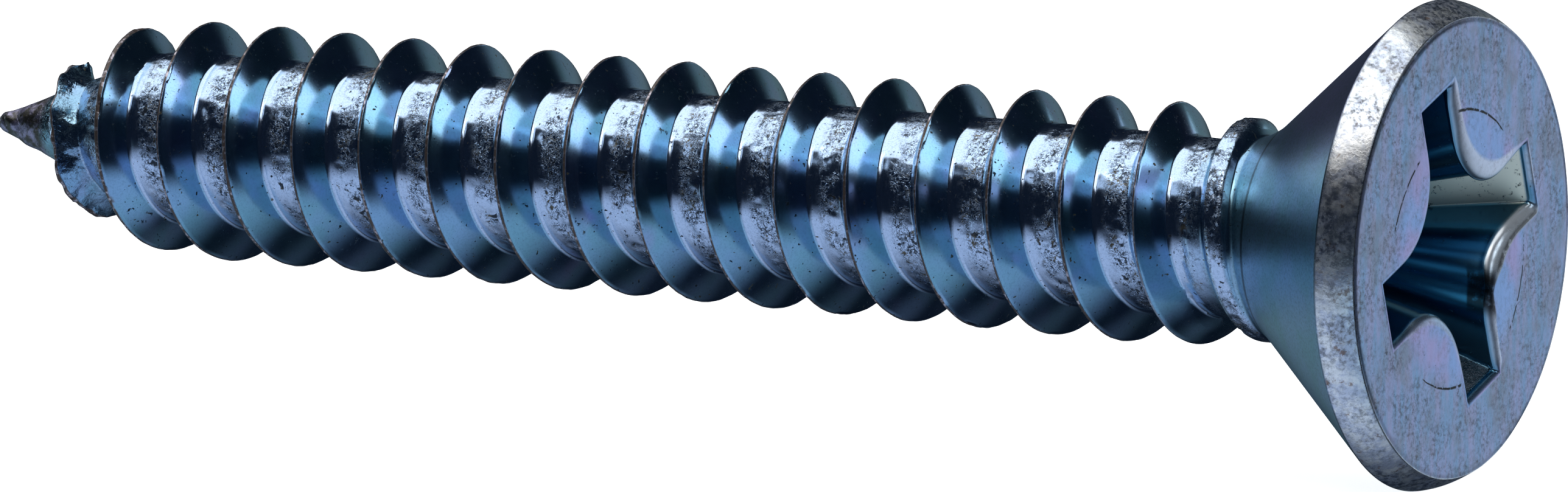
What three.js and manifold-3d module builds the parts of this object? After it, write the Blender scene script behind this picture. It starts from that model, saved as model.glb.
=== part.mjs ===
import * as THREE from "three";
import { mergeVertices } from "three/addons/utils/BufferGeometryUtils.js";
import Module from "manifold-3d";

const manifold = await Module();
manifold.setup();

// Countersunk self-tapping screw, 5.5 x 38. Millimetres. The axis is X: the flat face of the head is
// at x = 0 and looks along +X, and the point is at x = -length.
const length = 38;
const pitch = 1.8;
const crestRadius = 2.65;
const rootRadius = 1.95;
const crestWidth = 0.12;
const flankAngle = radians(32);

const headRadius = 5.26;
const faceRadius = 4.93;
const rimHeight = 0.77;
const rimBulge = 0.06;
const coneAngle = radians(41);
// The fillet under the cone starts just inside the core, so that it grows out of it.
const neckRadius = 1.9;
const neckFillet = 2.8;

// The core tapers to the point over its last stretch, and the thread's crest over a longer one.
const coreTaper = 3.8;
const crestTaper = 4.5;
const pointRadius = 0.12;
const pointCoreRadius = 0.08;

// The cross recess: four wings with blunt ends, and a rounded lobe between each two of them.
const wingCount = 4;
const wingReach = 3.47;
const wingHalfWidth = 0.76;
const wingTurn = radians(19);
const wingEndSlope = radians(26.5);
const wingSideSlope = radians(5.75);
const lobeShare = 0.63;
const wallDepth = 2.9;
const recessDepth = 3.4;

// On the +Y side of the axis, the thread's crest is at this x and at whole pitches from it.
const crestPhase = -7.5;
// Under the head the crest sinks into the neck between these two places.
const runOutStart = -6.9;
const runOutEnd = -4.3;
const runOutRadius = 2.2;

// Where one named region of the screw ends and the next begins.
const pointTop = -33.4;
const shankTop = -5.9;
const neckTop = -3.6;

const turnSteps = 24;
const headSteps = 64;
const roundSteps = 3;
const lobeSteps = 6;
const clearance = 1;
const mergeDistance = 1e-4;

function radians(degrees) {
  return (degrees * Math.PI) / 180;
}

function ramp(value, from, to, low, high) {
  return low + (high - low) * THREE.MathUtils.clamp((value - from) / (to - from), 0, 1);
}

function toSolid(geometry) {
  const bare = geometry.clone();
  bare.deleteAttribute("normal");
  bare.deleteAttribute("uv");
  const merged = mergeVertices(bare, mergeDistance);
  const corners = merged.index.array;
  const triangles = [];
  for (let first = 0; first < corners.length; first += 3) {
    const [a, b, c] = corners.slice(first, first + 3);
    const collapsed = a === b || b === c || c === a;
    if (!collapsed) triangles.push(a, b, c);
  }
  return new manifold.Manifold(new manifold.Mesh({
    numProp: 3,
    vertProperties: new Float32Array(merged.attributes.position.array),
    triVerts: new Uint32Array(triangles),
  }));
}

function solidFromTriangles(points, triangles) {
  const geometry = new THREE.BufferGeometry();
  geometry.setAttribute("position", new THREE.Float32BufferAttribute(points, 3));
  geometry.setIndex(triangles);
  return toSolid(geometry);
}

function toGeometry(solid) {
  const mesh = solid.getMesh();
  const geometry = new THREE.BufferGeometry();
  geometry.setAttribute("position", new THREE.Float32BufferAttribute(mesh.vertProperties, 3));
  geometry.setIndex(new THREE.Uint32BufferAttribute(mesh.triVerts, 1));
  return geometry;
}

// The crest grows from the point to its full radius, and fades under the head.
function crestAt(x) {
  const nearPoint = ramp(x, -length, -length + crestTaper, pointRadius, crestRadius);
  const nearHead = ramp(x, runOutStart, runOutEnd, crestRadius, runOutRadius);
  return Math.min(nearPoint, nearHead);
}

function rootAt(x) {
  return ramp(x, -length, -length + coreTaper, pointCoreRadius, rootRadius);
}

// One pitch of the thread, as offsets along the axis: the crest's two edges, then the root's.
function threadProfile() {
  const half = crestWidth / 2;
  const flank = (crestRadius - rootRadius) * Math.tan(flankAngle);
  return [
    { offset: -half, radiusAt: crestAt },
    { offset: half, radiusAt: crestAt },
    { offset: half + flank, radiusAt: rootAt },
    { offset: pitch - half - flank, radiusAt: rootAt },
  ];
}

// The core and its right-hand thread in one closed skin: the profile is wound along the helix, its last
// point joins the first point of the next turn, and a fan closes each end on the axis.
function makeThreadedRod(startX, endX) {
  const profile = threadProfile();
  const last = profile.length - 1;
  const firstTurn = Math.floor((startX - crestPhase) / pitch);
  const turns = Math.floor((endX - crestPhase) / pitch) - 1 - firstTurn;
  const steps = turns * turnSteps;
  const points = [];
  const triangles = [];
  const at = (step, place) => step * profile.length + place;
  const quad = (a, b, c, d) => triangles.push(a, b, c, a, c, d);

  for (let step = 0; step <= steps; step += 1) {
    const angle = (2 * Math.PI * (step % turnSteps)) / turnSteps;
    const crestX = crestPhase + pitch * (firstTurn + step / turnSteps);
    for (const { offset, radiusAt } of profile) {
      const radius = radiusAt(crestX + offset);
      points.push(crestX + offset, radius * Math.cos(angle), radius * Math.sin(angle));
    }
  }
  for (let step = 0; step < steps; step += 1) {
    for (let place = 0; place < last; place += 1) {
      quad(at(step, place), at(step + 1, place), at(step + 1, place + 1), at(step, place + 1));
    }
    if (step < steps - turnSteps) {
      const next = step + turnSteps;
      quad(at(step, last), at(step + 1, last), at(next + 1, 0), at(next, 0));
    }
  }
  const closeEnd = (rim, x) => {
    const hub = points.length / 3;
    points.push(x, 0, 0);
    rim.forEach((corner, index) => triangles.push(hub, corner, rim[(index + 1) % rim.length]));
  };
  const turn = [...Array(turnSteps).keys()];
  const startRim = [...profile.keys()].map((place) => at(0, place));
  startRim.push(...turn.map((step) => at(turnSteps - step, 0)));
  const endRim = turn.map((step) => at(steps - turnSteps + step, last));
  endRim.push(...[...profile.keys()].reverse().map((place) => at(steps, place)));
  closeEnd(startRim, crestPhase + pitch * (firstTurn + 0.5));
  closeEnd(endRim, crestPhase + pitch * (firstTurn + turns));
  return solidFromTriangles(points, triangles);
}

// The neck's fillet, the cone, the rim and the flat face, turned about the axis.
function makeHeadBlank() {
  const coneFoot = -rimHeight - (headRadius - neckRadius) / Math.tan(coneAngle);
  const filletStart = coneFoot - neckFillet * Math.tan(coneAngle / 2);
  const outline = new THREE.Path();
  outline.moveTo(0, filletStart);
  outline.lineTo(neckRadius, filletStart);
  outline.absarc(neckRadius + neckFillet, filletStart, neckFillet, Math.PI, Math.PI - coneAngle, true);
  outline.lineTo(headRadius, -rimHeight);
  outline.quadraticCurveTo(headRadius + rimBulge, -rimHeight / 3, faceRadius, 0);
  outline.lineTo(0, 0);
  const blank = new THREE.LatheGeometry(outline.getPoints(roundSteps), headSteps);
  blank.rotateZ(-Math.PI / 2);
  return toSolid(blank);
}

// The recess outline at one depth below the face, counter-clockwise seen from in front of the head.
function recessOutline(depth) {
  const reach = wingReach - depth * Math.tan(wingEndSlope);
  const half = wingHalfWidth - depth * Math.tan(wingSideSlope);
  const lobe = lobeShare * (reach - half);
  const quarter = [new THREE.Vector2(reach, half)];
  for (let step = 0; step <= lobeSteps; step += 1) {
    const angle = Math.PI * (1.5 - (0.5 * step) / lobeSteps);
    const onLobe = new THREE.Vector2(Math.cos(angle), Math.sin(angle)).addScalar(1);
    quarter.push(onLobe.multiplyScalar(lobe).addScalar(half));
  }
  quarter.push(new THREE.Vector2(half, reach));
  const centre = new THREE.Vector2();
  const outline = [];
  for (let wing = 0; wing < wingCount; wing += 1) {
    const turn = wingTurn + (2 * Math.PI * wing) / wingCount;
    outline.push(...quarter.map((corner) => corner.clone().rotateAround(centre, turn)));
  }
  return outline;
}

// What the recess takes out of the head: sloped walls down to wallDepth, then a shallow point.
function makeRecess() {
  const levels = [
    { x: clearance, outline: recessOutline(0) },
    { x: 0, outline: recessOutline(0) },
    { x: -wallDepth, outline: recessOutline(wallDepth) },
  ];
  const count = levels[0].outline.length;
  const points = [clearance, 0, 0];
  const triangles = [];
  for (const { x, outline } of levels) {
    for (const corner of outline) points.push(x, corner.x, corner.y);
  }
  const bottom = points.length / 3;
  points.push(-recessDepth, 0, 0);
  const at = (level, corner) => 1 + level * count + (corner % count);
  for (let corner = 0; corner < count; corner += 1) {
    triangles.push(0, at(0, corner), at(0, corner + 1));
    for (let level = 1; level < levels.length; level += 1) {
      triangles.push(at(level, corner), at(level, corner + 1), at(level - 1, corner + 1));
      triangles.push(at(level, corner), at(level - 1, corner + 1), at(level - 1, corner));
    }
    triangles.push(bottom, at(levels.length - 1, corner + 1), at(levels.length - 1, corner));
  }
  return solidFromTriangles(points, triangles);
}

// Everything of the solid between two places on the axis.
function slice(solid, fromX, toX) {
  const side = 4 * headRadius;
  const slab = new THREE.BoxGeometry(toX - fromX, side, side);
  slab.translate((fromX + toX) / 2, 0, 0);
  return solid.intersect(toSolid(slab));
}

function addPart(group, name, solid, material) {
  const mesh = new THREE.Mesh(toGeometry(solid), new THREE.MeshStandardMaterial(material));
  mesh.name = name;
  group.add(mesh);
}

const rod = makeThreadedRod(-length - clearance, -clearance);
const screw = rod.add(makeHeadBlank()).subtract(makeRecess());

const bluedZinc = { color: 0x8f9fc4, roughness: 0.35, metalness: 0.9 };
const rolledZinc = { color: 0x86a6bd, roughness: 0.3, metalness: 0.9 };

const group = new THREE.Group();
addPart(group, "head", slice(screw, neckTop, clearance), bluedZinc);
addPart(group, "neck", slice(screw, shankTop, neckTop), bluedZinc);
addPart(group, "threaded_shank", slice(screw, pointTop, shankTop), rolledZinc);
addPart(group, "gimlet_point", slice(screw, -length, pointTop), rolledZinc);

export default group;
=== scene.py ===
import math

import bpy
import numpy as np
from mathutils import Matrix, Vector


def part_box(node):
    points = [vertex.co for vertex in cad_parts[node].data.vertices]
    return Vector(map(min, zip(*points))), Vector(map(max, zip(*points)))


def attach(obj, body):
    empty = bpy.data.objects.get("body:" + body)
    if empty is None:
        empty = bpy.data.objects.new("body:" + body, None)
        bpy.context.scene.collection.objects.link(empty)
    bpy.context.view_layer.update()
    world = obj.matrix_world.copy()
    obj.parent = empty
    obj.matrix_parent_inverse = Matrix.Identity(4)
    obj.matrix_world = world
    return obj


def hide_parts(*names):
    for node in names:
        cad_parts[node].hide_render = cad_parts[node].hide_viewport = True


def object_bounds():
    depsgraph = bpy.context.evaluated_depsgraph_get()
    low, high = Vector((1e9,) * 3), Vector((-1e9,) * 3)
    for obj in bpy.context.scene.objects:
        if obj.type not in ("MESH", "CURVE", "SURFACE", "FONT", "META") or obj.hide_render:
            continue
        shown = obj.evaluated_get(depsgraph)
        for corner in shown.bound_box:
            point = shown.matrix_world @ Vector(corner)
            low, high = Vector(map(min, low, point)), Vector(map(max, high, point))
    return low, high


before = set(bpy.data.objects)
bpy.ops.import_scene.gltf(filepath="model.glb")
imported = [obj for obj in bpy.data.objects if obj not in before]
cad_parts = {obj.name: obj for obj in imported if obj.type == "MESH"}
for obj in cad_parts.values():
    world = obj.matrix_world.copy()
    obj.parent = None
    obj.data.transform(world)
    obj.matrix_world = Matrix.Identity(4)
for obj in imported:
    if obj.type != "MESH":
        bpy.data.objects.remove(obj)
cad_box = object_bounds()

# A zinc-plated countersunk self-tapping screw. The shapes below are worked out in millimetres along
# the screw's axis, x, with the radius r and the angle a about it, counted from +Y towards +Z, and
# become metres when a mesh is made.
MM = 0.001


def region(node):
    """Where a CAD node starts and ends along the axis, and its largest radius, in millimetres."""
    low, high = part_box(node)
    return low.x / MM, high.x / MM, high.y / MM


NECK_TOP, _, HEAD_RADIUS = region("head")
SHANK_TOP, _, _ = region("neck")
POINT_TOP, _, CREST_RADIUS = region("threaded_shank")
POINT_END, _, _ = region("gimlet_point")
# Where a thin dark line of shade is painted round the neck, in the crease where the thread runs out.
SEAM = -4.05

PITCH = 1.8
CREST_WIDTH = 0.04
ROOT_RADIUS = 1.95
FLANK_AT_ROOT = math.tan(math.radians(30.5))
FLANK_AT_CREST = math.tan(math.radians(34.8))
# On the +Y side of the axis, the crest is at this x and at whole pitches from it. The turns round
# MIDDLE are rolled a little nearer to the head, and the first whole turn nearer to the point.
CREST_PHASE = -7.475
MIDDLE, MIDDLE_SPREAD, MIDDLE_DRIFT = -20, 9, 0.07
FIRST_TURN, FIRST_TURN_SPREAD, FIRST_TURN_DRIFT = -36.3, 0.7, -0.15

# Where the root is rough, as shares of the pitch from one crest to the next: where that starts, is
# whole, starts to fade and has ended.
SCARRED_ROOT = (0.36, 0.46, 0.70, 0.76)

# How the crest and the core grow from the point to their full radius: (place on the axis, radius).
CREST_GROWTH = [(-38, 0.12), (-36.7, 0.62), (-36.45, 0.95), (-36, 1.34), (-35.4, 1.72), (-35, 1.95),
                (-34, 2.46), (-33, 2.64), (-32, 2.72), (-27, 2.68), (-20, 2.65), (-7, 2.64), (-6.1, 2.55),
                (-5.2, 2.40), (-4.3, 2.38)]
CORE_GROWTH = [(-38, 0.13), (-37.9, 0.22), (-37.6, 0.32), (-37, 0.53), (-36.6, 0.69), (-35.4, 1.14),
               (-34.4, 1.58), (-33.4, 1.91), (-33, 1.95), (-8, 1.95), (-6, 1.91)]
# Burrs on the first turn: the place on the axis, the angle in radians and the radius they reach.
BURRS = [(-36.2, 1.45, 1.34), (-35.83, 1.30, 1.56)]
BURR_LENGTH, BURR_ARC = 0.09, 0.16

NECK_RADIUS = 1.9
NECK_FILLET = 2.8
CONE_ANGLE = math.radians(41)
RIM_HEIGHT = 0.77
RIM_BULGE = 0.035
FACE_RADIUS = 4.93

# The cross recess: four wings with blunt ends, and a rounded lobe between each two of them.
WING_TURN = math.radians(19)
WING_REACH = 3.38
WING_HALF_WIDTH = 0.68
LIP = 0.16
LOBE_SHARE = 0.63
WALL_DEPTH = 2.9
RECESS_DEPTH = 3.4
END_SLOPE = math.tan(math.radians(26.5))
SIDE_SLOPE = math.tan(math.radians(5.75))
RECESS_CENTRE = np.array([-0.10, 0.11])

TURN_STEPS = 200
QUARTER_STEPS = 112
WING_END_STEPS = 14
WING_SIDE_STEPS = 18

# Stretches of the recess edge, as column numbers round its outline from the middle of the first
# wing's end: where each one starts, is whole, starts to fade and has ended. On the lobes and the
# first wing's end a pale reflection is painted on the bevel, the near and lower lip are widened and
# painted white as a highlight, and the widened lip's outer edge and the dark corner get painted shade.
TOP_LOBE = (14, 34, 92, 102)
RIGHT_LOBE = (350, 358, 376, 384)
FIRST_WING_END = [(-2, -1, 8, 14), (440, 446, 450, 460)]
NEAR_LIP = (384, 396, 430, 436)
LOWER_LIP = (246, 256, 300, 312)
DARK_CORNER = (372, 378, 388, 394)


# Numbers that look random but come out the same each time.

def cell_values(cells, seed):
    """A number from -1 to 1 for each whole-numbered cell."""
    x, y, z = (cells.astype(np.int64) + 4096).T
    mixed = (x * 73856093) ^ (y * 19349663) ^ (z * 83492791) ^ (seed * 40503)
    mixed = (mixed & 0xFFFFFFFF) ^ ((mixed & 0xFFFFFFFF) >> 13)
    mixed = (mixed * 1274126177) & 0xFFFFFFFF
    mixed ^= mixed >> 16
    return mixed / 0x7FFFFFFF - 1


def noise(points, size, seed):
    """Smooth values from -1 to 1 at the points, with lumps of about that size."""
    scaled = points / size
    base = np.floor(scaled)
    inside = scaled - base
    inside = inside * inside * (3 - 2 * inside)
    total = np.zeros(len(points))
    for corner in np.ndindex(2, 2, 2):
        share = np.prod(np.where(corner, inside, 1 - inside), axis=1)
        total += share * cell_values(base + corner, seed)
    return total


def rough(points, size, seed, octaves=3):
    """Noise with finer and fainter noise added to it."""
    total = sum(noise(points, size / 2**step, seed + step) / 2**step for step in range(octaves))
    return total / 1.5


# Helpers for shapes.

def blend(value, low, high):
    """0 below low, 1 above high, and smooth between them."""
    t = np.clip((value - low) / (high - low), 0, 1)
    return t * t * (3 - 2 * t)


def hump(value, middle, spread):
    """1 in the middle, and falling off smoothly at both sides."""
    return np.exp(-(((value - middle) / spread) ** 2))


def stretch(value, start, whole, fading, end):
    """1 from whole to fading, 0 before start and after end, and smooth between them."""
    return blend(value, start, whole) * (1 - blend(value, fading, end))


def soft_max(a, b, width):
    """The larger of two values, with the crossing rounded over that width."""
    overlap = np.clip(width - np.abs(a - b), 0, None) / width
    return np.maximum(a, b) + overlap * overlap * width / 4


def around(x, r, a):
    """Points from positions along the axis, radii and angles."""
    return np.stack([x, r * np.cos(a), r * np.sin(a)], axis=-1)


# Meshes.

def make_piece(name, points, faces, masks, ring_size, material):
    """A closed piece. Its first ring_size points lie on its cuts, and edges between them are sharp."""
    mesh = bpy.data.meshes.new(name)
    mesh.from_pydata((points * MM).tolist(), [], faces)
    mesh.polygons.foreach_set("use_smooth", [True] * len(mesh.polygons))
    ends = np.empty(len(mesh.edges) * 2, dtype=np.int32)
    mesh.edges.foreach_get("vertices", ends)
    cut = (ends.reshape(-1, 2) < ring_size).all(axis=1)
    mesh.edges.foreach_set("use_edge_sharp", cut.tolist())
    for mask, values in masks.items():
        attribute = mesh.attributes.new(mask, "FLOAT", "POINT")
        attribute.data.foreach_set("value", values.astype(np.float32))
    mesh.materials.append(material)
    piece = bpy.data.objects.new(name, mesh)
    bpy.context.scene.collection.objects.link(piece)
    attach(piece, "root")
    return piece


def neck_radius(x):
    """The fillet under the head and the cone."""
    foot = -RIM_HEIGHT - (HEAD_RADIUS - NECK_RADIUS) / math.tan(CONE_ANGLE)
    start = foot - NECK_FILLET * math.tan(CONE_ANGLE / 2)
    run = np.clip(x - start, 0, NECK_FILLET * math.sin(CONE_ANGLE))
    fillet = NECK_RADIUS + NECK_FILLET - np.sqrt(NECK_FILLET**2 - run**2)
    cone = HEAD_RADIUS + (x + RIM_HEIGHT) * math.tan(CONE_ANGLE)
    beyond_fillet = x - start > NECK_FILLET * math.sin(CONE_ANGLE)
    return np.where(x < start, 0, np.where(beyond_fillet, cone, fillet))


def grown(x, growth):
    """The radius at x, between the points of a growth list."""
    places, radii = zip(*growth)
    return np.interp(x, places, radii)


def thread_profile():
    """Places across one pitch, from one crest to the next, and the height at each: 0 root, 1 crest."""
    half = CREST_WIDTH / 2
    depth = CREST_RADIUS - ROOT_RADIUS
    height = np.array([0.965, 0.88, 0.70, 0.54, 0.38, 0.22, 0.08, 0])
    rounder = (FLANK_AT_CREST - FLANK_AT_ROOT) * (1 - height**2) / 2
    flank = half + depth * (FLANK_AT_ROOT * (1 - height) + rounder)
    root = np.linspace(flank[-1], PITCH / 2, 6)[1:]
    offset = np.concatenate([[0, half], flank, root])
    height = np.concatenate([[1, 0.985], height, 0 * root])
    offsets = np.concatenate([offset, PITCH - offset[1:-1][::-1]])
    return offsets, np.concatenate([height, height[1:-1][::-1]])


def thread_grid():
    """The core and its right-hand thread: row by row along the axis, one column for each angle.

    A row that leaves the last column goes on in the first one a whole turn further up."""
    offsets, heights = thread_profile()
    first = math.floor((POINT_END - CREST_PHASE) / PITCH) - 1
    turns = math.ceil((NECK_TOP - CREST_PHASE) / PITCH) + 2 - first
    turn = np.repeat(np.arange(first, first + turns), len(offsets))[:, None]
    share = (np.arange(TURN_STEPS) / TURN_STEPS)[None, :]
    offset = np.tile(offsets, turns)[:, None] + 0 * share
    height = np.tile(heights, turns)[:, None] + 0 * share
    a = 2 * math.pi * share + 0 * offset
    wound = turn + share

    along = CREST_PHASE + PITCH * wound
    drift = MIDDLE_DRIFT * hump(along, MIDDLE, MIDDLE_SPREAD)
    drift = drift + FIRST_TURN_DRIFT * hump(along, FIRST_TURN, FIRST_TURN_SPREAD)

    def along_helix(size, seed):
        places = np.stack([wound, 0 * wound, 0 * wound], axis=-1).reshape(-1, 3)
        return noise(places, size, seed).reshape(wound.shape)

    x = along + offset + drift + 0.018 * along_helix(0.13, 5) * height
    core = grown(x, CORE_GROWTH)
    # Each flank is as tall as the crest it rises to. Under the head the ridge is blunter.
    nearest_crest = along + PITCH * (offset > PITCH / 2)
    crest = np.maximum(grown(nearest_crest, CREST_GROWTH), core)
    blunt = blend(x, SHANK_TOP - 0.2, SHANK_TOP + 0.5)
    r = core + (crest - core) * np.minimum(height * (1 + 0.55 * blunt), 1)
    neck = neck_radius(x)
    on_neck = blend(neck - r, -0.12, 0.12)
    r = soft_max(r, neck, 0.16)

    p = around(x, r, a).reshape(-1, 3)
    shape = x.shape

    def lumps(size, seed, octaves=3):
        return rough(p, size, seed, octaves).reshape(shape)

    # Where the crest, the root, the roughly rolled part of the root and the point are.
    on_crest = blend(height, 0.965, 0.985) * (1 - on_neck) * blend(crest - core, 0.25, 0.60)
    on_crest = on_crest * (1 - blend(x, SHANK_TOP - 0.9, SHANK_TOP - 0.1))
    on_root = (1 - blend(height, 0.0, 0.10)) * (1 - on_neck)
    blunt_ridge = blunt * blend(height, 0.45, 0.70) * (1 - on_neck)
    scar = np.maximum(on_root * stretch(offset / PITCH, *SCARRED_ROOT), blunt_ridge)
    near_point = 1 - blend(x, POINT_END + 2.4, POINT_END + 4.4)
    size_here = np.clip((x - POINT_END) / 3, 0.10, 1)

    # Pits in the rough part of the root, a little unevenness, chips in the crest and a ragged point.
    r = r - scar * size_here * 0.020 * blend(lumps(0.24, 11), 0.0, 0.45)
    r = r + on_root * size_here * 0.005 * lumps(0.55, 41)
    r = r + 0.003 * lumps(1.9, 47, 1) * (1 - on_neck)
    chips = blend(along_helix(0.035, 59), 0.45, 0.85) * blend(along_helix(0.31, 61), -0.2, 0.4)
    r = r + on_crest * size_here * (0.012 * lumps(0.20, 53) - 0.045 * chips)
    r = r + near_point * size_here * (0.05 + 0.12 * height) * lumps(0.42, 67)
    for burr_x, burr_angle, reach in BURRS:
        burr = hump(x, burr_x, BURR_LENGTH) * hump(a, burr_angle, BURR_ARC)
        r = r + np.maximum(reach - r, 0) * burr
    torn = near_point * 0.5 * (1 - on_crest) * blend(x, POINT_END + 1.1, POINT_END + 1.5)

    return {
        "x": x,
        "r": r,
        "a": a,
        "rows_per_turn": len(offsets),
        "masks": {
            "crest": on_crest,
            "root": np.maximum(on_root, blunt_ridge),
            "scar": np.maximum(scar, torn),
            "point": near_point,
            "neck": on_neck,
            "tip": 1 - blend(x, POINT_END + 1.5, POINT_END + 1.8),
        },
    }


def thread_piece(name, grid, low, high, material):
    """The stretch of the threaded grid between two places on the axis, closed by a flat cap at each."""
    x, r, a = grid["x"], grid["r"], grid["a"]
    rows, columns = x.shape
    snap = 0.02
    below, above = x < low + snap, x > high - snap
    inner = ~(below | above)
    index = np.empty(x.shape, dtype=np.int64)
    column = np.broadcast_to(np.arange(columns), x.shape)
    index[below] = column[below]
    index[above] = column[above] + columns
    index[inner] = 2 * columns + np.arange(inner.sum())

    def on_cut(values, place):
        return np.array([np.interp(place, x[:, c], values[:, c]) for c in range(columns)])

    angles = a[0]
    points = np.concatenate([
        around(np.full(columns, low), on_cut(r, low), angles),
        around(np.full(columns, high), on_cut(r, high), angles),
        around(x[inner], r[inner], a[inner]),
        [[low, 0, 0], [high, 0, 0]],
    ])
    masks = {}
    for mask, values in grid["masks"].items():
        ends = [on_cut(values, low), on_cut(values, high), values[inner], [0, 0]]
        masks[mask] = np.concatenate(ends)

    next_turn = np.roll(index, -grid["rows_per_turn"], axis=0)[:, :1]
    right = np.concatenate([index[:, 1:], next_turn], axis=1)
    usable = rows - grid["rows_per_turn"] - 1
    quads = np.stack([index[:-1], right[:-1], right[1:], index[1:]], axis=-1)[:usable]
    quads = quads.reshape(-1, 4)
    quads = quads[(quads != quads[:, :1]).any(axis=1)]
    faces = []
    for quad in quads.tolist():
        corners = list(dict.fromkeys(quad))
        if len(corners) > 2 and not all(corner < columns for corner in corners):
            if not all(columns <= corner < 2 * columns for corner in corners):
                faces.append(corners)
    bottom, top = len(points) - 2, len(points) - 1
    for c in range(columns):
        after = (c + 1) % columns
        faces.append([bottom, after, c])
        faces.append([top, columns + c, columns + after])
    return make_piece(name, points, faces, masks, 2 * columns, material)


def recess_outline(reach, half):
    """The cross outline in columns: half a wing end, side, lobe, side and half an end per quarter."""
    lobe_steps = QUARTER_STEPS - 2 * (WING_END_STEPS + WING_SIDE_STEPS)
    lobe = LOBE_SHARE * (reach - half)

    def line(start, end, steps):
        t = np.arange(steps)[:, None] / steps
        return np.array(start) * (1 - t) + np.array(end) * t

    turn = math.pi * (1.5 - 0.5 * np.arange(lobe_steps) / lobe_steps)
    arc = half + lobe * (1 + np.stack([np.cos(turn), np.sin(turn)], axis=-1))
    quarter = np.concatenate([
        line((reach, 0), (reach, half), WING_END_STEPS),
        line((reach, half), (half + lobe, half), WING_SIDE_STEPS),
        arc,
        line((half, half + lobe), (half, reach), WING_SIDE_STEPS),
        line((half, reach), (0, reach), WING_END_STEPS),
    ])
    outline = []
    for wing in range(4):
        turn = WING_TURN + wing * math.pi / 2
        across = np.array([[math.cos(turn), math.sin(turn)], [-math.sin(turn), math.cos(turn)]])
        outline.append(quarter @ across)
    return np.concatenate(outline) + RECESS_CENTRE


# The folds that the punch left in the face, drawn only as thin dark lines of painted shade: start and
# end angle in degrees, the distance from the axis at each, and the width at each, in millimetres.
FOLDS = [
    (96, 51, 2.98, 2.93, 0.036, 0.020),
    (167, 133, 3.20, 2.92, 0.024, 0.026),
    (-1, -45, 2.82, 3.03, 0.018, 0.026),
    (-90, -126, 2.93, 3.15, 0.036, 0.014),
]


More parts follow.
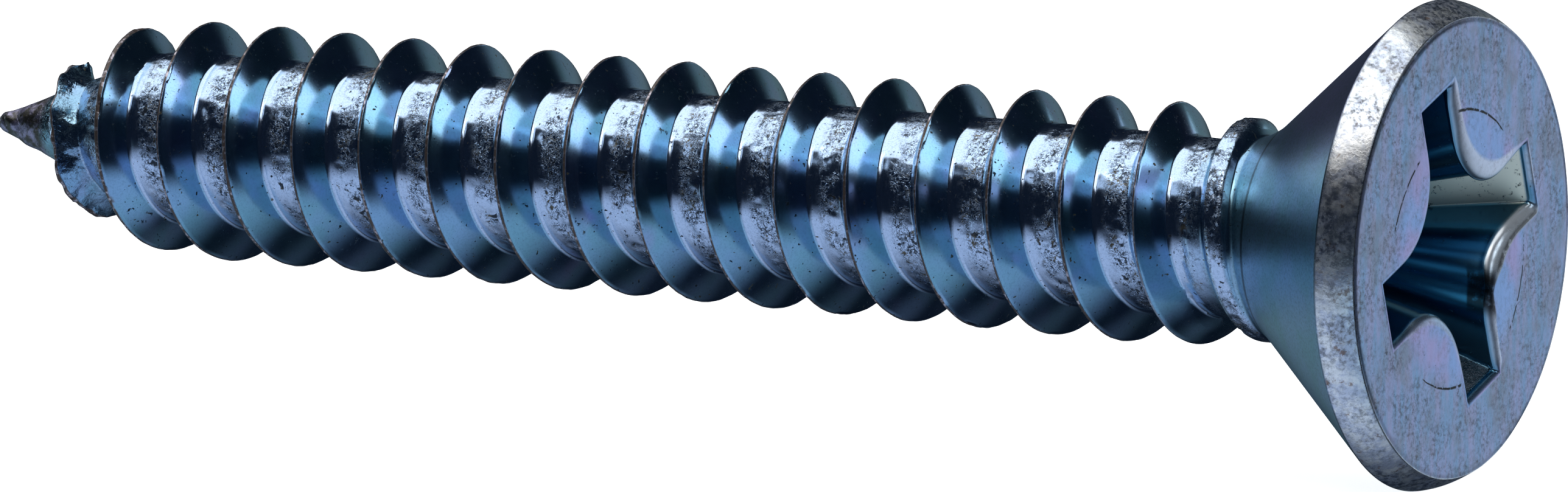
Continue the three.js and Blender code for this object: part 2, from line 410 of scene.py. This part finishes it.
def head_piece(material):
    """The cone, the worn rim, the flat face and the cross recess, as rings from the neck inwards."""
    columns = 4 * QUARTER_STEPS
    a = WING_TURN + 2 * math.pi * np.arange(columns) / columns
    circle = np.stack([np.cos(a), np.sin(a)], axis=-1)
    from_wing_end = np.abs((np.arange(columns) + QUARTER_STEPS / 2) % QUARTER_STEPS - QUARTER_STEPS / 2)
    wing_end = 1 - blend(from_wing_end, WING_END_STEPS - 1, WING_END_STEPS + 2)
    first_wing = np.cos(a - WING_TURN) > 0.7
    last_wing = np.cos(a - WING_TURN + math.pi / 2) > 0.7
    rings = []
    names = ("rim", "face", "lobe", "wall", "cone", "end", "tail", "bevel", "lip", "crease")
    masks = {name: [] for name in names}

    def ring(x, yz, **values):
        rings.append(np.column_stack([np.broadcast_to(x, columns), yz]))
        for name in names:
            masks[name].append(np.broadcast_to(values.get(name, 0.0), columns).astype(float))

    # The cone, drawn finer towards its edge, along which a dark line of shade is painted.
    share = np.linspace(0, 1, 46)
    for x in NECK_TOP + (-RIM_HEIGHT - NECK_TOP) * (1 - (1 - share) ** 1.25):
        ring(x, circle * neck_radius(np.array(x)), cone=1, crease=0.8 * (x > -RIM_HEIGHT - 0.01))

    # The rim, slightly convex, with a narrow painted line of shade along each edge.
    # Painted shade: the lines along the rim's edge and the face's step, darker towards the upper left.
    painted_edge_shade = 0.35 + 0.65 * np.clip(np.cos(a - math.radians(135)), 0, 1)
    for t in np.linspace(0, 1, 22)[1:]:
        bulge = RIM_BULGE * 4 * t * (1 - t)
        radius = HEAD_RADIUS + (FACE_RADIUS - HEAD_RADIUS) * t**1.15 + bulge
        ring(-RIM_HEIGHT * (1 - t), circle * radius, rim=1, crease=painted_edge_shade * (t == 1))

    # The face, from its edge in to the recess. A shallow step runs round inside its edge, deeper at the
    # upper left, and a dark line of shade is painted along it.
    wall_top = recess_outline(WING_REACH, WING_HALF_WIDTH)
    slant = recess_outline(WING_REACH - END_SLOPE, WING_HALF_WIDTH - SIDE_SLOPE) - wall_top
    spread = recess_outline(WING_REACH + LIP, WING_HALF_WIDTH + LIP) - wall_top
    column = np.arange(columns)
    top_lobe, right_lobe = stretch(column, *TOP_LOBE), stretch(column, *RIGHT_LOBE)
    bevel = np.maximum(top_lobe, right_lobe)
    for part in FIRST_WING_END:
        bevel = np.maximum(bevel, stretch(column, *part))
    rounded = np.maximum(stretch(column, *NEAR_LIP), 0.25 * stretch(column, *LOWER_LIP))
    shade = stretch(column, *DARK_CORNER)
    lip_depth = LIP * (1 + 0.9 * rounded)

    def wall_outline(depth):
        return wall_top + slant * (depth - LIP)[:, None]

    straight = wall_outline(lip_depth) - spread * (0.7 * top_lobe)[:, None]
    spread = spread * (1 + 1.3 * top_lobe + 0.8 * right_lobe + 1.0 * rounded)[:, None]
    step_depth = 0.010 + 0.03 * np.clip(np.cos(a - math.radians(140)), 0, 1)
    for t in np.linspace(0, 1, 64)[1:] ** 1.1:
        yz = circle * FACE_RADIUS * (1 - t) + (straight + spread) * t
        r = np.hypot(yz[:, 0] - RECESS_CENTRE[0], yz[:, 1] - RECESS_CENTRE[1])
        lobe = 1 - blend(r, 2.6, 3.3)
        edge = np.exp(-(((np.hypot(*yz.T) - FACE_RADIUS + 0.05) / 0.05) ** 2))
        ring(0.012 * lobe - step_depth * edge, yz, face=1, lobe=lobe, crease=painted_edge_shade * edge)

    # The rolled lip, then the walls, and the shallow point at the bottom.
    # Where the lip is rounded it is painted white as a highlight; the bevel gets a painted pale
    # reflection.
    for turn in np.radians([10, 20, 30, 40, 50, 60, 70, 80, 90]):
        yz = straight + spread * (1 - math.sin(turn))
        soft = 1 - math.sin(turn) ** 2
        # Painted shade: a dark line on the rounded lip's outer part, and a dark patch in one corner.
        dark = np.maximum(shade, rounded * (turn < 0.4))
        ring(0.012 - lip_depth * (1 - math.cos(turn)), yz, wall=1 - soft, face=soft, lobe=soft,
             bevel=bevel * min(1, 2.2 * soft), lip=rounded * min(1, 8 * soft), crease=dark)
    # The first wing's end wall is marked to be painted pale as a highlight, the last wing's end wall to
    # be painted dark as shade, and the dark corner at the top of the walls as shade.
    for t in np.concatenate([np.linspace(0.015, 0.2, 12), np.linspace(0.22, 1, 26)]):
        depth = lip_depth + (WALL_DEPTH - lip_depth) * t
        ring(-depth, wall_outline(depth), wall=1, end=wing_end * first_wing, tail=wing_end * last_wing,
             crease=shade * (t < 0.12))
    for t in np.linspace(0, 1, 9)[1:-1]:
        yz = wall_outline(depth) * (1 - t) + RECESS_CENTRE * t
        ring(-WALL_DEPTH - (RECESS_DEPTH - WALL_DEPTH) * t, yz, wall=1)

    rows = len(rings)
    points = np.array(rings).reshape(-1, 3)
    masks = {name: np.array(values).reshape(-1) for name, values in masks.items()}
    points = weather_head(points, masks)
    points = np.concatenate([
        points,
        [[-RECESS_DEPTH, *RECESS_CENTRE], [NECK_TOP, 0, 0]],
    ])
    masks = {name: np.append(values, [0, 0]) for name, values in masks.items()}
    index = np.arange(rows * columns).reshape(rows, columns)
    right = np.roll(index, -1, axis=1)
    quads = np.stack([index[:-1], right[:-1], right[1:], index[1:]], axis=-1)
    faces = quads.reshape(-1, 4).tolist()
    floor_centre, cap_centre = len(points) - 2, len(points) - 1
    for c in range(columns):
        after = (c + 1) % columns
        faces.append([cap_centre, after, c])
        faces.append([floor_centre, index[-1, c], index[-1, after]])
    return make_piece("screw_head", points, faces, masks, columns, material)


def weather_head(points, masks):
    """Small dents and unevenness on the rim and the face, and drag marks down the recess walls."""
    radial = points * [0, 1, 1]
    radial = radial / np.maximum(np.linalg.norm(radial, axis=1, keepdims=True), 0.1)
    rim, face, wall = (masks[name][:, None] for name in ("rim", "face", "wall"))
    lumps = noise(points, 0.9, 83)[:, None] * 0.008 + rough(points, 0.30, 85)[:, None] * 0.003
    moved = points + radial * rim * lumps
    swell = noise(points, 2.3, 89)[:, None] * 0.010 + rough(points, 0.35, 97)[:, None] * 0.003
    moved = moved + face * swell * [1, 0, 0]
    drag = noise(points * [0.10, 1, 1], 0.40, 101)[:, None]
    moved = moved + radial * wall * 0.0015 * drag
    return moved


# Materials.

def add(tree, kind, inputs=None, **settings):
    """One shader node. An input is a number, a colour or another node's output."""
    node = tree.nodes.new("ShaderNode" + kind)
    for name, value in settings.items():
        setattr(node, name, value)
    for name, value in (inputs or {}).items():
        if isinstance(value, bpy.types.NodeSocket):
            tree.links.new(value, node.inputs[name])
        else:
            node.inputs[name].default_value = value
    return node


def colour(red, green, blue):
    """A colour given as it looks on a screen, 0 to 255."""
    def linear(value):
        value = value / 255
        return value / 12.92 if value < 0.04045 else ((value + 0.055) / 1.055) ** 2.4
    return linear(red), linear(green), linear(blue), 1


class Finish:
    """Builds one material: masks and noises as single values, and layers of colour."""

    def __init__(self, name):
        self.material = bpy.data.materials.new(name)
        self.material.use_nodes = True
        self.tree = self.material.node_tree
        self.tree.nodes.clear()
        place = add(self.tree, "TexCoord").outputs["Object"]
        self.place = self.scaled(place, (1000, 1000, 1000))

    def scaled(self, vector, factors):
        node = add(self.tree, "VectorMath", {0: vector, 1: factors}, operation="MULTIPLY")
        return node.outputs[0]

    def mask(self, name):
        return add(self.tree, "Attribute", attribute_name=name).outputs["Fac"]

    def noise(self, size, detail=3.0, roughness=0.55, vector=None, distortion=0.0):
        inputs = {
            "Vector": vector or self.place, "Scale": 1 / size, "Detail": detail,
            "Roughness": roughness, "Distortion": distortion,
        }
        return add(self.tree, "TexNoise", inputs).outputs["Fac"]

    def math(self, operation, a, b=0.0, c=0.0):
        return add(self.tree, "Math", {0: a, 1: b, 2: c}, operation=operation).outputs[0]

    def step(self, value, low, high, first=0.0, last=1.0):
        inputs = {"Value": value, "From Min": low, "From Max": high, "To Min": first, "To Max": last}
        return add(self.tree, "MapRange", inputs, interpolation_type="SMOOTHSTEP").outputs[0]

    def mix(self, share, a, b, kind="RGBA"):
        node = add(self.tree, "Mix", data_type=kind)
        for name, value in (("Factor", share), ("A", a), ("B", b)):
            socket = [s for s in node.inputs if s.name == name and s.enabled][0]
            if isinstance(value, bpy.types.NodeSocket):
                self.tree.links.new(value, socket)
            else:
                socket.default_value = value
        return [s for s in node.outputs if s.enabled][0]

    def lerp(self, share, a, b):
        return self.mix(share, a, b, "FLOAT")

    def cracks(self, size, width):
        """Thin winding lines."""
        away = self.math("ABSOLUTE", self.math("SUBTRACT", self.noise(size, 3, 0.6, distortion=1.2), 0.5))
        return self.step(away, width, width / 3)

    def folds(self):
        """Thin dark lines of painted shade along the folds in the face."""
        x, y, z = add(self.tree, "SeparateXYZ", {0: self.place}).outputs
        angle = self.math("ARCTAN2", z, y)
        squares = self.math("MULTIPLY", y, y), self.math("MULTIPLY", z, z)
        radius = self.math("SQRT", self.math("ADD", *squares))
        radius = self.math("ADD", radius, self.math("MULTIPLY", self.noise(0.3, 2), 0.05))
        broken = self.step(self.noise(0.16, 2), 0.36, 0.46)
        total = 0.0
        for start, end, first, last, wide, narrow in FOLDS:
            low, high = math.radians(start), math.radians(end)
            inputs = {"Value": angle, "From Min": low, "From Max": high}
            share = add(self.tree, "MapRange", inputs, clamp=False).outputs[0]
            middle = self.math("MULTIPLY_ADD", share, last - first, first + 0.025)
            width = self.math("MULTIPLY_ADD", share, narrow - wide, wide)
            away = self.math("ABSOLUTE", self.math("SUBTRACT", radius, middle))
            line = self.step(self.math("DIVIDE", away, width), 1.25, 0.55)
            inside = self.math("MULTIPLY", self.step(share, 0.0, 0.04), self.step(share, 1.0, 0.93))
            total = self.math("MAXIMUM", total, self.math("MULTIPLY", line, inside))
        return self.math("MULTIPLY", self.math("MULTIPLY", total, broken), self.mask("face"))

    def cone_colour(self):
        """Grainy grey-blue, with a painted violet sheen along the top."""
        tint = self.step(self.noise(1.6, 3), 0.35, 0.65)
        base = self.mix(tint, colour(134, 176, 192), colour(150, 180, 212))
        # Painted sheen: a violet tint along the top.
        z = add(self.tree, "SeparateXYZ", {0: self.place}).outputs[2]
        base = self.mix(self.step(z, 2.0, 3.2, 0.0, 0.55), base, colour(168, 146, 200))
        grain = self.step(self.noise(0.06, 3, 0.7), 0.42, 0.70, 0.0, 0.45)
        return self.mix(grain, base, colour(84, 104, 116))

    def bump(self, height, distance, strength=1.0, normal=None):
        inputs = {"Height": height, "Distance": distance * MM, "Strength": strength}
        if normal is not None:
            inputs["Normal"] = normal
        return add(self.tree, "Bump", inputs).outputs[0]

    def finish(self, base, roughness, metallic, normal):
        shader = add(self.tree, "BsdfPrincipled", {
            "Base Color": base, "Roughness": roughness, "Metallic": metallic, "Normal": normal,
        })
        output = add(self.tree, "OutputMaterial")
        self.tree.links.new(shader.outputs[0], output.inputs["Surface"])
        return self.material


def thread_finish():
    """Rolled and plated steel: smooth flanks, a bright scarred root and rough crest edges."""
    f = Finish("rolled_zinc")
    scar, crest, point, tip = f.mask("scar"), f.mask("crest"), f.mask("point"), f.mask("tip")
    root = f.math("MULTIPLY", f.mask("root"), f.math("SUBTRACT", 1.0, point))

    tint = f.step(f.noise(1.5, 3), 0.35, 0.65)
    base = f.mix(tint, colour(142, 184, 202), colour(158, 188, 222))
    violet = f.step(f.noise(1.2, 2, vector=f.scaled(f.place, (1, 1.3, 0.8))), 0.56, 0.76)
    base = f.mix(f.math("MULTIPLY", violet, 0.4), base, colour(186, 170, 220))
    base = f.mix(root, base, colour(198, 216, 244))
    neck = f.step(f.mask("neck"), 0.5, 0.95)
    fine = f.noise(0.045, 2, 0.7)
    base = f.mix(f.step(fine, 0.42, 0.75, 0.0, 0.32), base, colour(104, 130, 146))
    base = f.mix(neck, base, f.cone_colour())
    tip_stain = f.step(f.noise(0.35, 4, 0.65), 0.40, 0.58)
    base = f.mix(tip, base, f.mix(tip_stain, colour(170, 162, 190), colour(88, 84, 80)))

    # Fine cracks and pits where the die let go of the metal, in uneven patches.
    patches = f.math("MULTIPLY", f.step(f.noise(0.50, 3, 0.6), 0.36, 0.56), scar)
    cracks = f.math("MAXIMUM", f.cracks(0.30, 0.020), f.cracks(0.17, 0.028))
    pits = f.step(f.noise(0.095, 3, 0.6, f.scaled(f.place, (1.3, 1, 1)), 0.4), 0.55, 0.62)
    marks = f.math("MULTIPLY", f.math("MAXIMUM", cracks, pits), patches)
    scabs = f.step(f.noise(0.34, 4, 0.65, distortion=0.5), 0.60, 0.65)
    marks = f.math("MAXIMUM", marks, f.math("MULTIPLY", scabs, scar))
    speck = f.step(f.noise(0.11, 2, 0.5), 0.67, 0.72)
    blots = f.step(f.noise(0.14, 4, 0.7), 0.60, 0.66)
    blots = f.math("MULTIPLY", blots, f.step(f.noise(1.2, 1), 0.58, 0.66))
    dirt = f.math("MAXIMUM", marks, f.math("MAXIMUM", speck, blots))
    brown = f.mix(f.step(f.noise(0.3, 2), 0.50, 0.62), colour(14, 20, 28), colour(96, 82, 50))
    base = f.mix(f.math("MULTIPLY", dirt, 0.94), base, brown)
    worn_crest = f.math("MULTIPLY", crest, f.step(f.noise(0.14, 3), 0.66, 0.50))
    base = f.mix(crest, base, colour(196, 184, 190))
    base = f.mix(worn_crest, base, colour(92, 78, 72))
    x = add(f.tree, "SeparateXYZ", {0: f.place}).outputs[0]
    # Painted shade: a thin dark line round the neck at SEAM.
    seam_shade = f.step(f.math("ABSOLUTE", f.math("SUBTRACT", x, SEAM)), 0.06, 0.02)
    base = f.mix(f.math("MULTIPLY", seam_shade, 0.75), base, colour(40, 44, 48))

    roughness = f.lerp(root, f.step(f.noise(0.9, 3), 0.3, 0.7, 0.12, 0.17), 0.12)
    roughness = f.lerp(neck, roughness, 0.28)
    roughness = f.lerp(f.math("MAXIMUM", f.math("MAXIMUM", dirt, crest), tip), roughness, 0.36)
    dull = f.math("MAXIMUM", f.math("MULTIPLY", dirt, 0.2), f.math("MULTIPLY", worn_crest, 0.5))
    metallic = f.math("SUBTRACT", 1.0, dull)

    wrinkles = f.noise(0.12, 4, 0.62, distortion=0.3)
    relief = f.math("SUBTRACT", f.math("MULTIPLY", wrinkles, 0.8), f.math("MULTIPLY", marks, 0.4))
    share = f.math("MAXIMUM", f.math("MULTIPLY", scar, f.step(patches, 0, 1, 0.2, 0.75)), 0.05)
    normal = f.bump(f.math("MULTIPLY", relief, share), 0.008, 0.8)
    sparkle = f.math("MULTIPLY", f.step(f.noise(0.07, 2), 0.60, 0.68), f.math("MULTIPLY", scar, patches))
    normal = f.bump(sparkle, 0.008, 0.8, normal)
    normal = f.bump(f.math("MULTIPLY", f.noise(0.07, 2), crest), 0.02, 0.7, normal)
    normal = f.bump(f.math("MULTIPLY", f.noise(0.22, 3), point), 0.04, 0.8, normal)
    return f.finish(base, roughness, metallic, normal)


def head_finish():
    """Plated steel with a mottled face, a rough rim and clean walls in the recess."""
    f = Finish("blued_zinc")
    rim, face, lobe = f.mask("rim"), f.mask("face"), f.mask("lobe")
    wall, cone, end, tail = f.mask("wall"), f.mask("cone"), f.mask("end"), f.mask("tail")
    bevel, lip, crease = f.mask("bevel"), f.mask("lip"), f.mask("crease")

    base = f.cone_colour()
    streak = f.noise(0.5, 4, 0.6, vector=f.scaled(f.place, (1, 1.6, 0.35)))
    face_tint = f.mix(f.step(streak, 0.32, 0.68), colour(150, 182, 216), colour(180, 182, 216))
    lobe_tint = f.mix(f.step(f.noise(1.3, 2), 0.40, 0.62), colour(162, 192, 240), colour(200, 184, 230))
    face_tint = f.mix(f.math("MULTIPLY", lobe, 0.85), face_tint, lobe_tint)
    grey = f.step(f.noise(1.2, 5, 0.7), 0.42, 0.66, 0.0, 0.55)
    grey = f.math("MULTIPLY", grey, f.step(lobe, 0, 1, 1.0, 0.25))
    face_tint = f.mix(grey, face_tint, colour(146, 146, 150))
    base = f.mix(face, base, face_tint)
    base = f.mix(wall, base, colour(96, 152, 178))
    # Painted highlight: the first wing's end wall is painted pale cream.
    base = f.mix(end, base, colour(255, 250, 228))
    # Painted shade: the last wing's end wall is painted dark.
    base = f.mix(tail, base, colour(84, 94, 104))
    # Painted highlight: the widened lip is painted near-white and made half dull.
    base = f.mix(lip, base, colour(252, 253, 255))
    # Painted reflection: a pale band on the bevel of some lobes and of the first wing's end.
    base = f.mix(f.math("MULTIPLY", bevel, 0.8), base, colour(236, 236, 246))
    rim_patches = f.step(f.noise(0.45, 5, 0.7), 0.4, 0.6)
    base = f.mix(rim, base, f.mix(rim_patches, colour(250, 250, 250), colour(208, 214, 230)))

    # Grey-brown mottling on the face and rim, thinner on the lobes, and darker small specks.
    grain = f.noise(0.13, 6, 0.78)
    patches = f.step(f.noise(0.9, 5, 0.65), 0.36, 0.64, 0.15, 1.0)
    patches = f.math("MULTIPLY", patches, f.math("SUBTRACT", 1.0, f.math("MULTIPLY", lobe, 0.5)))
    outer = f.math("MAXIMUM", face, rim)
    mottle = f.math("MULTIPLY", f.step(grain, 0.42, 0.68), f.math("MULTIPLY", patches, outer))
    stain = f.mix(f.step(f.noise(0.5, 2), 0.4, 0.6), colour(84, 84, 84), colour(110, 96, 82))
    base = f.mix(f.math("MULTIPLY", mottle, 0.85), base, stain)
    speck = f.math("MULTIPLY", f.step(f.noise(0.10, 3, 0.6), 0.68, 0.75), 0.7)
    wall_speck = f.math("MULTIPLY", f.step(f.noise(0.16, 5, 0.75), 0.58, 0.68), end)
    # The dark marks hold the specks and the painted shade along the folds.
    dirt = f.math("MAXIMUM", f.math("MAXIMUM", speck, wall_speck), f.folds())
    base = f.mix(dirt, base, colour(40, 38, 36))
    rust = f.math("MULTIPLY", f.step(f.noise(0.42, 5, 0.75), 0.60, 0.68), rim)
    base = f.mix(f.math("MULTIPLY", rust, 0.7), base, colour(124, 84, 54))
    # Painted shade: dark lines along the creases and edges, and a dark patch in a corner of the recess.
    edge = f.math("MULTIPLY", crease, f.step(f.noise(0.25, 4, 0.7), 0.30, 0.50, 0.35, 0.9))
    base = f.mix(edge, base, colour(56, 48, 44))

    roughness = f.lerp(face, 0.28, 0.42)
    roughness = f.lerp(rim, roughness, f.step(f.noise(0.25, 4), 0.35, 0.65, 0.20, 0.30))
    roughness = f.lerp(wall, roughness, 0.20)
    roughness = f.lerp(lip, roughness, 0.22)
    roughness = f.lerp(f.math("MAXIMUM", end, bevel), roughness, 0.40)
    roughness = f.lerp(f.math("MAXIMUM", dirt, f.math("MULTIPLY", mottle, 0.8)), roughness, 0.55)
    rim_stain = f.math("MULTIPLY", f.math("MULTIPLY", mottle, rim), 0.6)
    dull = f.math("MAXIMUM", f.math("MULTIPLY", dirt, 0.5), rim_stain)
    dull = f.math("MAXIMUM", dull, f.math("MULTIPLY", lip, 0.5))
    metallic = f.math("SUBTRACT", 1.0, dull)

    relief = f.math("MULTIPLY", f.noise(0.12, 4, 0.65), outer)
    normal = f.bump(relief, 0.007, 0.7)
    sparkle = f.math("MULTIPLY", f.noise(0.20, 4, 0.7), tail)
    normal = f.bump(sparkle, 0.12, 1.0, normal)
    rings = f.noise(0.05, 3, 0.6, vector=f.scaled(f.place, (1, 0.06, 0.06)))
    normal = f.bump(f.math("MULTIPLY", f.math("ADD", rings, grain), cone), 0.007, 0.6, normal)
    return f.finish(base, roughness, metallic, normal)


# The pieces.

grid = thread_grid()
rolled = thread_finish()
head = head_piece(head_finish())
neck = thread_piece("screw_neck", grid, SHANK_TOP, NECK_TOP, rolled)
shank = thread_piece("screw_shank", grid, POINT_TOP, SHANK_TOP, rolled)
point = thread_piece("screw_point", grid, POINT_END, POINT_TOP, rolled)
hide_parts("head")
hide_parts("neck")
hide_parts("threaded_shank")
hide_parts("gimlet_point")


# The studio. The tints are those of the lights, and the glows those of the dark surroundings.

WHITE = (1, 1, 1)
COOL_WHITE = (0.91, 0.97, 1)
PALE_BLUE = (0.72, 0.86, 1)
TABLE_GLOW = (0.46, 0.56, 0.72, 1)
RIGHT_GLOW = (0.35, 0.51, 0.68, 1)
LEFT_GLOW = (0.20, 0.29, 0.33, 1)
BACK_GLOW = (0.14, 0.19, 0.20, 1)

# The lights: name, azimuth and elevation in degrees, distance, width and height in metres, then
# brightness and tint.
SOFTBOXES = [
    ("overhead", -98, 76, 0.20, 0.21, 0.42, 1.5, COOL_WHITE),
    ("overhead_front", 30, 57, 0.26, 0.20, 0.09, 1.6, WHITE),
    ("overhead_left", -29, 54, 0.28, 0.08, 0.12, 0.9, PALE_BLUE),
    ("behind", 153, -8.6, 0.25, 0.20, 0.20, 0.87, PALE_BLUE),
    ("head_side", 100.5, 31, 0.30, 0.12, 0.08, 2.2, PALE_BLUE),
    ("point_side", -112, 1, 0.30, 0.06, 0.06, 3.0, PALE_BLUE),
]

# The camera: its lens, its azimuth, elevation and distance from what it looks at, and where that is
# from the middle of the screw. Degrees and millimetres.
LENS = 235.53
VIEW_AZIMUTH, VIEW_ELEVATION, VIEW_DISTANCE = 31.17, 8.56, 226.75
AIM = Vector((2.14, 0, -1.265))


def direction(azimuth, elevation):
    """A unit vector. Azimuth 0 is -Y, where the front is, and 90 is +X, off the head."""
    a, e = math.radians(azimuth), math.radians(elevation)
    return Vector((math.sin(a) * math.cos(e), -math.cos(a) * math.cos(e), math.sin(e)))


low, high = cad_box
centre = (low + high) / 2


def add_softbox(name, azimuth, elevation, distance, width, height, brightness, tint):
    """A soft rectangular light that faces the middle of the screw, as bright whatever its size."""
    light = bpy.data.lights.new(name, "AREA")
    light.shape = "RECTANGLE"
    light.size, light.size_y = width, height
    light.energy = brightness * math.pi * width * height
    light.color = tint
    lamp = bpy.data.objects.new(name, light)
    bpy.context.scene.collection.objects.link(lamp)
    towards = direction(azimuth, elevation)
    lamp.location = centre + towards * distance
    lamp.rotation_euler = towards.to_track_quat("Z", "Y").to_euler()
    lamp.visible_camera = False


def add_world():
    """Dark surroundings with dim blue glows in reflections, and plain white behind the screw."""
    world = bpy.data.worlds.new("studio")
    world.use_nodes = True
    bpy.context.scene.world = world
    tree = world.node_tree
    tree.nodes.clear()
    towards = add(tree, "SeparateXYZ", {0: add(tree, "TexCoord").outputs["Generated"]})
    x, y, z = towards.outputs

    def step(value, start, end):
        inputs = {"Value": value, "From Min": start, "From Max": end}
        return add(tree, "MapRange", inputs, interpolation_type="SMOOTHSTEP").outputs[0]

    def both(a, b):
        return add(tree, "Math", {0: a, 1: b}, operation="MULTIPLY").outputs[0]

    # Each glow fills a stretch of directions: x is towards the head, y away from the front, z up.
    turned = add(tree, "Math", {0: x, 1: -0.7}, operation="MULTIPLY").outputs[0]
    aside = add(tree, "Math", {0: y, 1: 1.3, 2: turned}, operation="MULTIPLY_ADD").outputs[0]
    table = both(both(step(z, -0.08, -0.42), step(aside, 0.85, -0.50)), step(x, 0.62, 0.15))
    low_right = both(both(step(z, -0.10, -0.32), step(y, 0.31, -0.12)), step(x, 0.20, 0.70))
    low_left = both(step(x, -0.55, -0.85), step(z, 0.05, -0.2))
    back = both(step(y, 0.90, 1.0), step(x, 0.25, 0.0))
    light = (0.006, 0.010, 0.018, 1)
    for share, tint in ((table, TABLE_GLOW), (low_right, RIGHT_GLOW), (low_left, LEFT_GLOW),
                        (back, BACK_GLOW)):
        node = add(tree, "Mix", data_type="RGBA", blend_type="ADD", clamp_factor=True)
        tree.links.new(share, node.inputs["Factor"])
        first, second = [socket for socket in node.inputs if socket.type == "RGBA"]
        second.default_value = tint
        if isinstance(light, tuple):
            first.default_value = light
        else:
            tree.links.new(light, first)
        light = [socket for socket in node.outputs if socket.enabled][0]
    surroundings = add(tree, "Background", {"Color": light, "Strength": 1.0})
    backdrop = add(tree, "Background", {"Color": (1, 1, 1, 1), "Strength": 1.0})
    path = add(tree, "LightPath")
    mixed = add(tree, "MixShader", {
        0: path.outputs["Is Camera Ray"], 1: surroundings.outputs[0], 2: backdrop.outputs[0],
    })
    output = add(tree, "OutputWorld")
    tree.links.new(mixed.outputs[0], output.inputs["Surface"])


def add_floor():
    """A plain pale floor that touches the head's rim. It doesn't show in the metal."""
    size = 2.0
    mesh = bpy.data.meshes.new("floor")
    corners = [(-size, -size, low.z), (size, -size, low.z), (size, size, low.z), (-size, size, low.z)]
    mesh.from_pydata(corners, [], [(0, 1, 2, 3)])
    floor = bpy.data.objects.new("floor", mesh)
    bpy.context.scene.collection.objects.link(floor)
    material = bpy.data.materials.new("pale_floor")
    material.use_nodes = True
    tree = material.node_tree
    tree.nodes.clear()
    glow = add(tree, "Emission", {"Color": (1, 1, 1, 1), "Strength": 0.9})
    paint = add(tree, "BsdfDiffuse", {"Color": (0.9, 0.9, 0.9, 1)})
    both = add(tree, "AddShader", {0: glow.outputs[0], 1: paint.outputs[0]})
    output = add(tree, "OutputMaterial")
    tree.links.new(both.outputs[0], output.inputs["Surface"])
    mesh.materials.append(material)
    floor.visible_glossy = False
    floor.visible_diffuse = False
    floor.visible_shadow = False


def add_camera():
    """Looks at the screw from the front right, a little above it, through a long lens."""
    camera_data = bpy.data.cameras.new("camera")
    camera_data.sensor_width = 36
    camera_data.lens = LENS
    camera_data.clip_start, camera_data.clip_end = 0.01, 10
    camera = bpy.data.objects.new("camera", camera_data)
    bpy.context.scene.collection.objects.link(camera)
    back = direction(VIEW_AZIMUTH, VIEW_ELEVATION)
    camera.location = centre + AIM * MM + back * VIEW_DISTANCE * MM
    camera.rotation_euler = back.to_track_quat("Z", "Y").to_euler()
    bpy.context.scene.camera = camera


add_world()
add_floor()
add_camera()
for softbox in SOFTBOXES:
    add_softbox(*softbox)
bpy.context.scene.view_settings.view_transform = "Standard"
